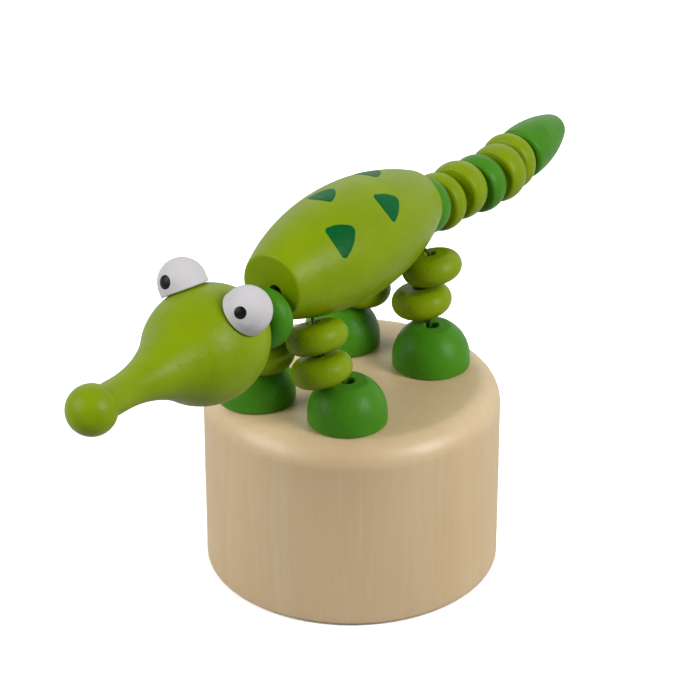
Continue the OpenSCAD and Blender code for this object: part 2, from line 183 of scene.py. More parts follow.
# The body rests over the front left leg
BODY_SAG = BODY_R - BODY_END_R
BODY_ARC = (BODY_LEN ** 2 / 4 + BODY_SAG ** 2) / (2 * BODY_SAG)
SEAT_R = HALF_BEAD + BODY_SEAT_GAP + barrel_r(UP_C[0][1] - BODY_Y)
BODY_Z = UP_C[0][2] + math.sqrt(SEAT_R ** 2 - UP_C[0][0] ** 2)
BODY_FRONT = BODY_Y - BODY_LEN / 2
BODY_REAR = BODY_Y + BODY_LEN / 2
BODY_HOLE = np.array([0.3, 0, BODY_Z - 0.2])
FRONT_MOUTH = BODY_HOLE + AXIS_Y * BODY_FRONT + FRONT_HOLE_SHIFT
REAR_MOUTH = BODY_HOLE + AXIS_Y * BODY_REAR
FRONT_JOIN = FRONT_MOUTH + AXIS_Y * FRONT_JOIN_DEPTH
REAR_JOIN = REAR_MOUTH - AXIS_Y * REAR_JOIN_DEPTH

# Neck and head; the head is rolled a little, and its eyes look ahead
HEAD_TURN, HEAD_TILT = 1.8, 2.6
ROLL = math.radians(6.7)
EYE_ANGLE = math.radians(37.5)
EYE_BACK = math.radians(-5.4)
LOOK_LIFT = [math.radians(a) for a in (19.5, 13.5)]
NECK_C = np.array([0.7, BODY_FRONT - NECK_GAP - HALF_BEAD, BODY_Z - 3.9])
NECK_AXIS = ahead(9, 4)
HEAD_AXIS = ahead(HEAD_TURN, HEAD_TILT)
HEAD_END = NECK_C + np.array([-0.9, -HALF_BEAD - HEAD_GAP, 0.45])
HEAD_C = HEAD_END + HEAD_AXIS * HEAD_BACK
HEAD_SIDE = np.array([math.cos(math.radians(HEAD_TURN)), math.sin(math.radians(HEAD_TURN)), 0])
HEAD_UP = np.cross(HEAD_AXIS, HEAD_SIDE)
ROLL_SIDE = HEAD_SIDE * math.cos(ROLL) - HEAD_UP * math.sin(ROLL)
ROLL_UP = HEAD_UP * math.cos(ROLL) + HEAD_SIDE * math.sin(ROLL)
EYE_AXIS = [ROLL_UP * math.cos(EYE_ANGLE) * math.cos(EYE_BACK)
            + ROLL_SIDE * s * math.sin(EYE_ANGLE) * math.cos(EYE_BACK)
            + HEAD_AXIS * math.sin(EYE_BACK) for s in (1, -1)]
EYE_MID = HEAD_R + EYE_PROUD
EYE_SEAT = HEAD_R - EYE_SINK
LOOK = [a * math.sin(t) + unit(HEAD_AXIS - a * (HEAD_AXIS @ a)) * math.cos(t)
        for a, t in zip(EYE_AXIS, LOOK_LIFT)]

# Each tail bead's place sideways and up, then its turn and tilt in degrees
TAIL_SITS = [
    (-0.6, -2.1, 0, 3),
    (-0.8, -3.4, 3, 1),
    (-0.2, -2.95, 5, 2),
    (0.45, -3.45, 2, -2),
    (1.1, -3.15, 0, 1),
    (0, -3.2, 3, 1),
]
TAIL_C = [np.array([s[0], BODY_REAR + TAIL_GAP + HALF_BEAD + (BEAD_T + TAIL_GAP) * i, BODY_Z + s[1]])
          for i, s in enumerate(TAIL_SITS)]
TAIL_AXIS = [-ahead(s[2], s[3]) for s in TAIL_SITS]
TIP_ROOT = TAIL_C[-1] + np.array([0.1, HALF_BEAD + TAIL_GAP, 0.15])
TIP_AXIS = -ahead(2, -5)


# Shader helpers
def new_material(name):
    m = bpy.data.materials.new(name)
    m.use_nodes = True
    t = m.node_tree
    t.nodes.clear()
    out = t.nodes.new("ShaderNodeOutputMaterial")
    p = t.nodes.new("ShaderNodeBsdfPrincipled")
    t.links.new(p.outputs["BSDF"], out.inputs["Surface"])
    return m, t, p


def add(t, kind, **values):
    """A new node, with values for its sockets or its settings."""
    n = t.nodes.new(kind)
    for k, v in values.items():
        if k in n.inputs:
            n.inputs[k].default_value = v
        else:
            setattr(n, k, v)
    return n


def srgb(r, g, b):
    """A colour as a picture shows it, 0 to 255, turned into the linear values that shaders take."""
    def lin(c):
        c /= 255
        return c / 12.92 if c <= 0.04045 else ((c + 0.055) / 1.055) ** 2.4
    return (lin(r), lin(g), lin(b), 1)


def darker(colour, share):
    return tuple(c * share for c in colour[:3]) + (1,)


def millimetres(t, stretch=(1, 1, 1), offset=(0, 0, 0)):
    """Object coordinates in millimetres, stretched for a grain."""
    co = add(t, "ShaderNodeTexCoord")
    m = add(t, "ShaderNodeMapping")
    m.inputs["Scale"].default_value = [s / MM for s in stretch]
    m.inputs["Location"].default_value = offset
    t.links.new(co.outputs["Object"], m.inputs["Vector"])
    return m.outputs["Vector"]


def noise(t, vector, scale=1.0, detail=3, rough=0.5):
    n = add(t, "ShaderNodeTexNoise", Scale=scale, Detail=detail, Roughness=rough)
    t.links.new(vector, n.inputs["Vector"])
    return n.outputs["Fac"]


def ramp(t, value, stops):
    n = add(t, "ShaderNodeValToRGB")
    e = n.color_ramp.elements
    while len(e) < len(stops):
        e.new(0.5)
    for el, (pos, col) in zip(e, stops):
        el.position = pos
        el.color = col
    t.links.new(value, n.inputs["Fac"])
    return n.outputs["Color"]


def span(t, value, source, target):
    """Carries a value from one range to another, held at both ends."""
    n = add(t, "ShaderNodeMapRange")
    for key, v in zip(("From Min", "From Max", "To Min", "To Max"), (*source, *target)):
        n.inputs[key].default_value = v
    t.links.new(value, n.inputs["Value"])
    return n.outputs["Result"]


def maths(t, op, a, b=None):
    n = add(t, "ShaderNodeMath", operation=op)
    for k, v in enumerate((a, b)):
        if v is None:
            continue
        if isinstance(v, (int, float)):
            n.inputs[k].default_value = v
        else:
            t.links.new(v, n.inputs[k])
    return n.outputs["Value"]


def blend_colour(t, fac, a, b):
    n = add(t, "ShaderNodeMix", data_type="RGBA")
    for k, v in ((0, fac), (6, a), (7, b)):
        if isinstance(v, (int, float, tuple)):
            n.inputs[k].default_value = v
        else:
            t.links.new(v, n.inputs[k])
    return n.outputs[2]


def bump(t, p, height, strength, distance):
    n = add(t, "ShaderNodeBump", Strength=strength, Distance=distance)
    t.links.new(height, n.inputs["Height"])
    t.links.new(n.outputs["Normal"], p.inputs["Normal"])


# A noise's middle range, where nearly all its values lie
MIDDLE = (0.3, 0.7)


def paint(name, colour, deep, rough=0.36, gloss=0.15):
    """Satin paint over turned wood: an uneven film, brush waves, fine grain and a few small pits, darkened
    with painted shade.
    """
    m, t, p = new_material(name)
    v = millimetres(t)
    film = noise(t, v, scale=0.16, detail=2)
    fine = noise(t, v, scale=1.9, detail=4, rough=0.6)
    waves = noise(t, v, scale=0.38, detail=1)
    pits = add(t, "ShaderNodeTexVoronoi", Scale=0.2, Randomness=1.0)
    t.links.new(v, pits.inputs["Vector"])
    pit_and_painted_shade = span(t, pits.outputs["Distance"], (0.03, 0.055), (1.0, 0.0))
    col = ramp(t, film, [(MIDDLE[0], deep), (MIDDLE[1], colour)])
    # Painted shade: each pit is darkened in colour as well as sunk by the bump
    col = blend_colour(t, maths(t, "MULTIPLY", pit_and_painted_shade, 0.2), col, darker(deep, 0.6))
    t.links.new(col, p.inputs["Base Color"])
    t.links.new(span(t, fine, MIDDLE, (rough - 0.05, rough + 0.07)), p.inputs["Roughness"])
    height = maths(t, "SUBTRACT", maths(t, "MULTIPLY", fine, 0.5), maths(t, "MULTIPLY", pit_and_painted_shade, 0.4))
    height = maths(t, "ADD", height, maths(t, "MULTIPLY", waves, 1.1))
    bump(t, p, height, strength=0.7, distance=0.16 * MM)
    p.inputs["Specular IOR Level"].default_value = gloss
    return m


# The tree's middle, from the middle of the base, in millimetres
PITH = (-26.0, 58.0)


def growth_rings(t, waver, ring_mm):
    """Dark late wood of growth rings round the pith, wavering with a noise."""
    at = add(t, "ShaderNodeSeparateXYZ")
    t.links.new(millimetres(t), at.inputs[0])
    x = maths(t, "ADD", at.outputs[0], -PITH[0])
    y = maths(t, "ADD", at.outputs[1], -PITH[1])
    away = maths(t, "SQRT", maths(t, "ADD", maths(t, "MULTIPLY", x, x), maths(t, "MULTIPLY", y, y)))
    turns = maths(t, "ADD", maths(t, "DIVIDE", away, ring_mm), maths(t, "MULTIPLY", waver, 4.0))
    return span(t, maths(t, "FRACT", turns), (0.5, 0.97), (0.0, 1.0))


def wood(name, light, dark, ring_mm=2.6):
    """Pale wood, sanded smooth: soft streaks, faint growth rings, fine fibres and a few flecks."""
    m, t, p = new_material(name)
    streak = noise(t, millimetres(t, (0.15, 0.15, 0.012)), detail=3, rough=0.55)
    cloud = noise(t, millimetres(t, (0.05, 0.05, 0.04), (4.0, 9.0, 2.0)), detail=2)
    fibre = noise(t, millimetres(t, (2.6, 2.6, 0.07)), detail=4, rough=0.6)
    fleck = noise(t, millimetres(t, (2.2, 2.2, 0.3), (3.1, 0.7, 0)), detail=2, rough=0.4)
    late = growth_rings(t, streak, ring_mm)
    mix = maths(t, "ADD", maths(t, "MULTIPLY", streak, 0.6), maths(t, "MULTIPLY", cloud, 0.4))
    deep = darker(dark, 0.72)
    col = ramp(t, mix, [(MIDDLE[0], dark), (MIDDLE[1], light)])
    col = blend_colour(t, maths(t, "MULTIPLY", late, 0.09), col, deep)
    col = blend_colour(t, span(t, fibre, MIDDLE, (0.14, 0.0)), col, deep)
    col = blend_colour(t, span(t, fleck, (0.68, 0.78), (0.0, 0.16)), col, deep)
    t.links.new(col, p.inputs["Base Color"])
    t.links.new(span(t, fibre, MIDDLE, (0.47, 0.39)), p.inputs["Roughness"])
    bump(t, p, fibre, strength=0.12, distance=0.04 * MM)
    p.inputs["Specular IOR Level"].default_value = 0.6
    return m


def thread_look():
    """Dark green twisted cotton, with painted shade in the grooves between its plies."""
    m, t, p = new_material("thread_cotton")
    wave = add(t, "ShaderNodeTexWave", Scale=1.6, Distortion=0.4, bands_direction="DIAGONAL")
    t.links.new(millimetres(t), wave.inputs["Vector"])
    twist_and_painted_shade = wave.outputs["Fac"]
    # Painted shade: the colour darkens where the twist's bump sinks, between the plies
    col = ramp(t, twist_and_painted_shade, [(0.2, srgb(24, 44, 16)), (0.8, srgb(58, 86, 34))])
    t.links.new(col, p.inputs["Base Color"])
    t.links.new(span(t, twist_and_painted_shade, (0, 1), (0.92, 0.78)), p.inputs["Roughness"])
    bump(t, p, twist_and_painted_shade, strength=0.6, distance=0.1 * MM)
    return m


def steel_look():
    """Plain drawn spring wire."""
    m, t, p = new_material("spring_wire")
    n = noise(t, millimetres(t), scale=3.0)
    col = ramp(t, n, [(MIDDLE[0], srgb(150, 152, 156)), (MIDDLE[1], srgb(188, 190, 193))])
    t.links.new(col, p.inputs["Base Color"])
    t.links.new(span(t, n, MIDDLE, (0.28, 0.42)), p.inputs["Roughness"])
    p.inputs["Metallic"].default_value = 1.0
    bump(t, p, n, strength=0.15, distance=0.03 * MM)
    return m


LIME = paint("lime_paint", srgb(137, 161, 3), srgb(128, 153, 1))
GREEN = paint("green_paint", srgb(73, 140, 24), srgb(65, 131, 19))
DEEP = paint("spot_paint", srgb(0, 100, 44), srgb(0, 91, 37), rough=0.34, gloss=0.08)
WHITE = paint("white_paint", srgb(214, 211, 214), srgb(208, 205, 208), rough=0.4)
BLACK = paint("black_paint", srgb(22, 22, 22), srgb(14, 14, 14), rough=0.3)
WOOD = wood("bare_wood", srgb(230, 204, 163), srgb(222, 192, 147))
# The button's wood: its own ring spacing, and colours darker than the base's as painted shade inside the bore
WOOD_IN_PAINTED_SHADE = wood("button_wood_painted_shade", srgb(204, 177, 137), srgb(190, 162, 121), ring_mm=3.1)
THREAD = thread_look()
STEEL = steel_look()


# Mesh helpers
def arc(cr, ch, r, a0, a1, steps):
    """Points (radius, height) of a circle's arc in a profile; angles in degrees from the radius direction."""
    angles = [math.radians(a0 + (a1 - a0) * i / steps) for i in range(steps + 1)]
    return [(cr + r * math.cos(a), ch + r * math.sin(a)) for a in angles]


def axes_for(axis):
    """Three directions at right angles, the last one along the axis."""
    z = unit(axis)
    ref = np.array([0, 0, 1.0]) if abs(z[2]) < 0.9 else np.array([1.0, 0, 0])
    x = unit(np.cross(ref, z))
    return x, np.cross(z, x), z


def crisp_rings(profile, ring, keep):
    """Which points of a profile turn by more than keep degrees."""
    n = len(profile)
    crisp = set()
    for i in range(n):
        if not ring and i in (0, n - 1):
            continue
        p0, p1, p2 = profile[i - 1], profile[i], profile[(i + 1) % n]
        u = unit([p1[0] - p0[0], p1[1] - p0[1]])
        w = unit([p2[0] - p1[0], p2[1] - p1[1]])
        if math.degrees(math.acos(max(-1, min(1, u @ w)))) > keep:
            crisp.add(i)
    return crisp


def turned_faces(rows, ring, segments):
    """Faces between each ring of points and the next; a row of one point is a pole."""
    faces = []
    for i in range(len(rows) if ring else len(rows) - 1):
        a, b = rows[i], rows[(i + 1) % len(rows)]
        for k in range(segments):
            q = (k + 1) % segments
            if len(a) == 1 and len(b) > 1:
                faces.append((a[0], b[q], b[k]))
            elif len(b) == 1 and len(a) > 1:
                faces.append((a[k], a[q], b[0]))
            elif len(a) > 1:
                faces.append((a[k], a[q], b[q], b[k]))
    return faces


def turned_mesh(name, profile, centre, axis, segments, ring, keep):
    """The profile, in millimetres, carried round the axis."""
    x, y, z = axes_for(axis)
    c = np.asarray(centre, float)
    verts, rows = [], []
    for r, h in profile:
        count = 1 if r < 1e-6 else segments
        rows.append(list(range(len(verts), len(verts) + count)))
        for k in range(count):
            a = 2 * math.pi * k / segments
            verts.append(tuple((c + x * (r * math.cos(a)) + y * (r * math.sin(a)) + z * h) * MM))
    mesh = bpy.data.meshes.new(name)
    mesh.from_pydata(verts, [], turned_faces(rows, ring, segments))
    mesh.update()
    crisp = crisp_rings(profile, ring, keep)
    level = {v: i for i, row in enumerate(rows) for v in row}
    ends = [(level[e.vertices[0]], level[e.vertices[1]]) for e in mesh.edges]
    mesh.polygons.foreach_set("use_smooth", [True] * len(mesh.polygons))
    flag = mesh.attributes.new("sharp_edge", "BOOLEAN", "EDGE")
    flag.data.foreach_set("value", [a == b and a in crisp for a, b in ends])
    bm = bmesh.new()
    bm.from_mesh(mesh)
    bmesh.ops.recalc_face_normals(bm, faces=bm.faces)
    bm.to_mesh(mesh)
    bm.free()
    return mesh


def place(name, mesh, body, look, stands_for=()):
    """Puts a mesh in the scene, on its body and with its material."""
    o = bpy.data.objects.new(name, mesh)
    scene.collection.objects.link(o)
    mesh.materials.append(look)
    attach(o, body)
    if stands_for:
        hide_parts(*stands_for)
    return o


def lathe(name, profile, centre, axis, body, look, stands_for,
          segments=96, ring=True, keep=CRISP_ANGLE):
    """A turned piece. With ring, the profile closes on itself; without, it starts and ends on the axis."""
    mesh = turned_mesh(name, profile, centre, axis, segments, ring, keep)
    return place(name, mesh, body, look, stands_for)


# Profiles of the turned pieces
def crown_h(r):
    """Height of a bead's crowned face at a radius, from the bead's middle."""
    return HALF_BEAD - CROWN + math.sqrt(CROWN ** 2 - r * r)


def with_hole(top, rim, hole):
    """A bead's closed profile: its upper face, its rim, the same face below, and the hole's wall."""
    low = [(r, -h) for r, h in reversed(top)]
    wall = crown_h(hole) - BEAD_CHAMFER
    return top + rim + low + [(hole, -wall), (hole, wall)]


def bead_profile(hole):
    """A bun: crowned faces and a round rim."""
    top = [(r, crown_h(r)) for r in np.linspace(hole + BEAD_CHAMFER, CROWN_EDGE, 7)]
    a = math.degrees(math.atan2(crown_h(CROWN_EDGE), CROWN_EDGE - RIM_X))
    return with_hole(top, arc(RIM_X, 0, RIM_R, a, -a, steps=18)[1:-1], hole)


def tail_bead_profile(crease_r, crease_h):
    """A bead of the same outline whose faces fall to a soft crease, with a band round the rim."""
    face_shares = (0, 0.25, 0.5, 0.7, 0.85, 0.95)
    face_bend = 1.2
    crease_soft = 3
    start = PAIR_HOLE_R + BEAD_CHAMFER
    high = crown_h(start)
    top = [(start + (crease_r - start) * k, high - (high - crease_h) * k ** face_bend) for k in face_shares]
    bulge = BEAD_R - crease_r
    band_r = (crease_h ** 2 + bulge ** 2) / (2 * bulge)
    a = math.degrees(math.asin(crease_h / band_r)) - crease_soft
    return with_hole(top, arc(BEAD_R - band_r, 0, band_r, a, -a, steps=16), PAIR_HOLE_R)


def foot_profile():
    """A rounded lower edge, a short straight side, then one arc up to a small flat top."""
    # The flat top's soft edge: out from its radius, and down
    top_edge = ((0.1, 0.1), (-0.1, 0.02), (-0.3, 0))
    dome_short = 3
    low = FOOT_LOW_ROUND
    fall = FOOT_R - FOOT_TOP_R
    rise = FOOT_H - FOOT_SIDE
    dome_r = (rise ** 2 + fall ** 2) / (2 * fall)
    dome_end = math.degrees(math.asin(rise / dome_r)) - dome_short
    out = [(HOLE_R, 0)] + arc(FOOT_R - low, low, low, -90, 0, steps=5)
    out += arc(FOOT_R - dome_r, FOOT_SIDE, dome_r, 0, dome_end, steps=26)
    out += [(FOOT_TOP_R + a, FOOT_H - d) for a, d in top_edge]
    return out + [(HOLE_R + HOLE_CHAMFER, FOOT_H), (HOLE_R, FOOT_H - HOLE_CHAMFER)]


def body_profile():
    """A barrel with flat ends and softly rounded end edges."""
    edge_shares = (0.17, 0.33, 0.5, 0.67, 0.83, 1)
    end_rings = (0.12, 0.8)
    half = BODY_LEN / 2
    flat_r = BODY_END_R - BODY_END_ROUND
    reach = half - BODY_END_ROUND
    side = [(barrel_r(s), s) for s in np.linspace(-reach, reach, 61)]
    start, corner, stop = np.array(side[-1]), np.array([BODY_END_R, half]), np.array([flat_r, half])
    edge = [tuple((1 - k) ** 2 * start + 2 * k * (1 - k) * corner + k * k * stop) for k in edge_shares]
    cap = edge + [(flat_r - d, half) for d in end_rings] + [(0, half)]
    return [(r, -h) for r, h in reversed(cap)] + side + cap


def head_profile():
    """From the hole in the back: a bulb that runs smoothly into a hollow snout, a crease and a ball nose."""
    back_edge = 0.25
    back_soft = 1.5
    nose_soft = 4
    # The snout's last two rings before the ball: out from its radius, and back from the ball
    nose_crease = ((0, 0.35), (0.06, 0.1))
    side_r = (HEAD_R ** 2 + HEAD_END_AT ** 2 - HEAD_END_R ** 2) / (2 * (HEAD_R - HEAD_END_R))
    join = HEAD_END_AT + HEAD_END_R * HEAD_END_AT / (side_r - HEAD_END_R)
    hollow = SNOUT_HOLLOW_R
    flat_at = HEAD_END_AT + math.sqrt((HEAD_END_R + hollow) ** 2 - (SNOUT_R + hollow) ** 2)
    start = HEAD_END_AT + HEAD_END_R * (flat_at - HEAD_END_AT) / (HEAD_END_R + hollow)
    back_r = math.sqrt(HEAD_END_R ** 2 - (HEAD_BACK - HEAD_END_AT) ** 2)
    hole_end = HEAD_HOLE_LEN - HEAD_BACK
    out = [(0, hole_end), (HEAD_HOLE_R, hole_end), (HEAD_HOLE_R, HOLE_CHAMFER - HEAD_BACK)]
    out += [(HEAD_HOLE_R + HOLE_CHAMFER, -HEAD_BACK), (back_r - back_edge, -HEAD_BACK)]
    a0 = math.degrees(math.asin((HEAD_END_AT - HEAD_BACK) / HEAD_END_R)) + back_soft
    a1 = math.degrees(math.asin((HEAD_END_AT - join) / HEAD_END_R))
    out += arc(0, -HEAD_END_AT, HEAD_END_R, a0, a1, steps=14)
    out += [(HEAD_R - side_r + math.sqrt(side_r ** 2 - s * s), s)
            for s in np.linspace(-join, start, 34)[1:-1]]
    out += [(SNOUT_R + hollow - math.sqrt(hollow ** 2 - (flat_at - s) ** 2), s)
            for s in np.linspace(start, flat_at, 24)]
    neck = NOSE_AT - math.sqrt(NOSE_R ** 2 - SNOUT_R ** 2)
    out += [(SNOUT_R + a, neck - d) for a, d in nose_crease]
    ball_start = math.degrees(math.asin((neck - NOSE_AT) / NOSE_R)) + nose_soft
    return out + arc(0, NOSE_AT, NOSE_R, ball_start, 90, steps=26)[:-1] + [(0, NOSE_AT + NOSE_R)]


def tip_profile():
    """A bullet: a soft root edge, one long side arc and a ball end, each tangent to the next."""
    edge = TIP_ROOT_ROUND
    root, end = np.array([TIP_R - edge, edge]), np.array([0, TIP_LEN - TIP_END_R])
    d = np.linalg.norm(end - root)
    u = (end - root) / d
    root_reach, end_reach = TIP_SIDE_R - edge, TIP_SIDE_R - TIP_END_R
    along = (root_reach ** 2 - end_reach ** 2 + d * d) / (2 * d)
    mid = root + u * along + np.array([-u[1], u[0]]) * math.sqrt(root_reach ** 2 - along ** 2)
    a0 = math.degrees(math.atan2(*(root - mid)[::-1]))
    a1 = math.degrees(math.atan2(*(end - mid)[::-1]))
    out = [(0, TIP_HOLE_LEN), (PAIR_HOLE_R, TIP_HOLE_LEN), (PAIR_HOLE_R, HOLE_CHAMFER)]
    out += [(PAIR_HOLE_R + HOLE_CHAMFER, 0)]
    out += arc(root[0], root[1], edge, -90, a0, steps=9)[:-1]
    out += arc(mid[0], mid[1], TIP_SIDE_R, a0, a1, steps=14)[:-1]
    return out + arc(end[0], end[1], TIP_END_R, a1, 90, steps=18)[:-1] + [(0, TIP_LEN)]


def base_profile():
    """A cup with its mouth down, a small lower round and a large upper one."""
    side_start, side_short = 3, 0.5
    top_rings = np.linspace(18, 3, 6)
    low, high = BASE_LOW_ROUND, BASE_H - BASE_ROUND
    out = [(0, ROOF_Z), (BORE_R, ROOF_Z), (BORE_R, BORE_CHAMFER), (BORE_R + BORE_CHAMFER, 0)]
    out += [(BASE_R - low, 0)] + arc(BASE_R - low, low, low, -80, 0, steps=7)
    out += [(BASE_R, h) for h in np.linspace(side_start, high - side_short, 8)]
    out += arc(BASE_R - BASE_ROUND, high, BASE_ROUND, 0, 90, steps=18)
    return out + [(r, BASE_H) for r in top_rings] + [(0, BASE_H)]


def eye_profile():
    """A dome over a short straight side, cut flat where it sits on the head."""
    cut = EYE_SEAT - EYE_MID
    low = EYE_LOW_CHAMFER
    seat = [(0, cut), (EYE_R - low, cut), (EYE_R, cut + low)]
    return seat + arc(0, 0, EYE_R, 0, 90, steps=26)[:-1] + [(0, EYE_R)]


def pupil_profile(r):
    """A round peg with a soft edge, whose face follows the eye's curve."""
    # The soft edge: in from the peg's radius, and up from its rim
    rim_edge = ((0, -0.08), (0.05, 0.02))
    face_bend = 0.21
    face_rings = np.linspace(r - 0.12, 0.1, 7)
    fall = face_bend * r * r
    face = EYE_R + PUPIL_PROUD
    out = [(r, EYE_R - PUPIL_DEPTH)] + [(r - a, face - fall + d) for a, d in rim_edge]
    return out + [(q, face - fall * (q / r) ** 2) for q in face_rings] + [(0, face)]


# Feet, beads, head, eyes and tail
BEAD = bead_profile(HOLE_R)
PAIR_BEAD = bead_profile(PAIR_HOLE_R)
FOOT = foot_profile()
for i, leg in enumerate(LEGS):
    lathe("foot_of_leg_" + leg, FOOT, (*FOOT_XY[i], BASE_H), UP,
          "stand", GREEN, ["foot_" + leg])
    lathe("bead_low_" + leg, BEAD, LOW_C[i], LOW_AXIS[i],
          "lower_" + leg, LIME, ["lower_bead_" + leg])
    lathe("bead_up_" + leg, BEAD, UP_C[i], UP_AXIS[i],
          "upper_" + leg, LIME, ["upper_bead_" + leg])
for i in range(TAIL_BEADS):
    dark = i in DARK_TAIL_BEADS
    look, slot = (GREEN, "green_paint") if dark else (LIME, "lime_paint")
    lathe("bead_tail_%d" % (i + 1), tail_bead_profile(*TAIL_CREASES[i]), TAIL_C[i], TAIL_AXIS[i],
          "tail_%d" % (i + 1), look, ["tail_bead_%d" % (i + 1)], keep=TAIL_CRISP_ANGLE)
lathe("bead_neck", PAIR_BEAD, NECK_C, NECK_AXIS, "neck", GREEN, ["neck_bead"])
lathe("tail_cone", tip_profile(), TIP_ROOT, TIP_AXIS,
      "tail_end", GREEN, ["tail_tip"], ring=False)
lathe("head_turned", head_profile(), HEAD_C, HEAD_AXIS,
      "skull", LIME, ["head"], segments=128, ring=False)
for k, side in enumerate(SIDES):
    lathe("eye_ball_" + side, eye_profile(), HEAD_C + EYE_AXIS[k] * EYE_MID, EYE_AXIS[k],
          "skull", WHITE, ["eye_" + side], ring=False)


# Body and base, with their thread holes
def drill(o, start, end, radius):
    """Cuts a round hole from start to end, in millimetres, and keeps its edges crisp."""
    s, e = np.asarray(start, float), np.asarray(end, float)
    turn = Matrix(axes_for(e - s)).transposed().to_4x4()
    bm = bmesh.new()
    bmesh.ops.create_cone(bm, cap_ends=True, segments=32, radius1=radius * MM, radius2=radius * MM,
                          depth=float(np.linalg.norm(e - s)) * MM)
    bmesh.ops.transform(bm, matrix=Matrix.Translation(Vector((s + e) / 2 * MM)) @ turn, verts=bm.verts)
    mesh = bpy.data.meshes.new("drill")
    bm.to_mesh(mesh)
    bm.free()
    cutter = bpy.data.objects.new("drill", mesh)
    scene.collection.objects.link(cutter)
    mod = o.modifiers.new("hole", "BOOLEAN")
    mod.operation = "DIFFERENCE"
    mod.solver = "EXACT"
    mod.object = cutter
    dg = bpy.context.evaluated_depsgraph_get()
    dg.update()
    done = bpy.data.meshes.new_from_object(o.evaluated_get(dg))
    o.modifiers.remove(mod)
    bm = bmesh.new()
    bm.from_mesh(done)
    for edge in bm.edges:
        if edge.calc_face_angle(0) > math.radians(CRISP_ANGLE):
            edge.smooth = False
    bm.to_mesh(done)
    bm.free()
    o.data = done
    bpy.data.objects.remove(cutter)


# How far a drill reaches past a hole's mouth, and how far below a leg's top the leg's drill starts
DRILL_OUT = 1
LEG_DRILL_OUT = 0.3
body = lathe("body_turned", body_profile(), (0, BODY_Y, BODY_Z), AXIS_Y,
             "torso", LIME, ["body"], segments=128, ring=False)
base = lathe("base_turned", base_profile(), (0, 0, 0), UP,
             "stand", WOOD, ["base"], segments=160, ring=False)
LEG_TOP = [c + a * HALF_BEAD for c, a in zip(UP_C, UP_AXIS)]
LEG_JOIN = [FRONT_JOIN, FRONT_JOIN, REAR_JOIN, REAR_JOIN]
for i in range(len(LEGS)):
    drill(body, LEG_TOP[i] - unit(LEG_JOIN[i] - LEG_TOP[i]) * LEG_DRILL_OUT, LEG_JOIN[i], HOLE_R)
    drill(base, (*FOOT_XY[i], ROOF_Z - DRILL_OUT), (*FOOT_XY[i], BASE_H + DRILL_OUT), HOLE_R)
drill(body, FRONT_MOUTH - AXIS_Y * DRILL_OUT, FRONT_JOIN + AXIS_Y * JOIN_OVER, BODY_HOLE_R)
drill(body, REAR_MOUTH + AXIS_Y * DRILL_OUT, REAR_JOIN - AXIS_Y * JOIN_OVER, BODY_HOLE_R)

# Painted spots on the back: rounded triangles that point to the tail, in two rows; sizes in millimetres
SPOT_CORNER_R = (0.85, 0.7, 1.0)
SPOT_CORNER_STEPS = 10
SPOT_STEP = 0.35
SPOT_BULGE = 0.22
SPOT_LIFT = 0.045
SPOT_SINK = -0.02
SPOT_RINGS = (0.0, 0.2, 0.4, 0.6, 0.8, 0.94, 1.0)


def rounded_triangle(width, length, skew):
    """Points round a triangle with round corners and slightly bulging sides; skew moves its tip sideways."""
    corners = [np.array(p) for p in ((-width / 2, 0.0), (width / 2, 0.0), (skew, length))]
    outline = []
    for i, radius in enumerate(SPOT_CORNER_R):
        before, here, after = corners[i - 1], corners[i], corners[(i + 1) % 3]
        u, w = unit(before - here), unit(after - here)
        half = math.acos(max(-1, min(1, u @ w))) / 2
        centre = here + unit(u + w) * (radius / math.sin(half))
        a0 = math.atan2(*(here - before)[::-1]) - math.pi / 2
        a1 = math.atan2(*(after - here)[::-1]) - math.pi / 2
        while a1 < a0:
            a1 += 2 * math.pi
        for k in range(SPOT_CORNER_STEPS + 1):
            a = a0 + (a1 - a0) * k / SPOT_CORNER_STEPS
            outline.append(centre + radius * np.array([math.cos(a), math.sin(a)]))
    full = []
    for k, p in enumerate(outline):
        q = outline[(k + 1) % len(outline)]
        steps = max(1, int(np.linalg.norm(q - p) / SPOT_STEP))
        side = unit([q[1] - p[1], p[0] - q[0]]) if steps > 2 else np.zeros(2)
        full += [p + (q - p) * j / steps + side * SPOT_BULGE * math.sin(math.pi * j / steps)
                 for j in range(steps)]
    return full


def over_body(along, turn, lift):
    """A point, in metres, at a small height over the body's side; turn is from straight up, in radians."""
    slope = along / math.sqrt(BODY_ARC ** 2 - along * along)
    out = lift / math.hypot(1, slope)
    r = barrel_r(along) + out
    return (r * math.sin(turn) * MM, (BODY_Y + along + out * slope) * MM, (BODY_Z + r * math.cos(turn)) * MM)


def looks_out(face):
    """Above zero where a face looks away from the body's axis."""
    c = face.calc_center_median()
    return face.normal.dot(c - Vector((0, c.y, BODY_Z * MM)))


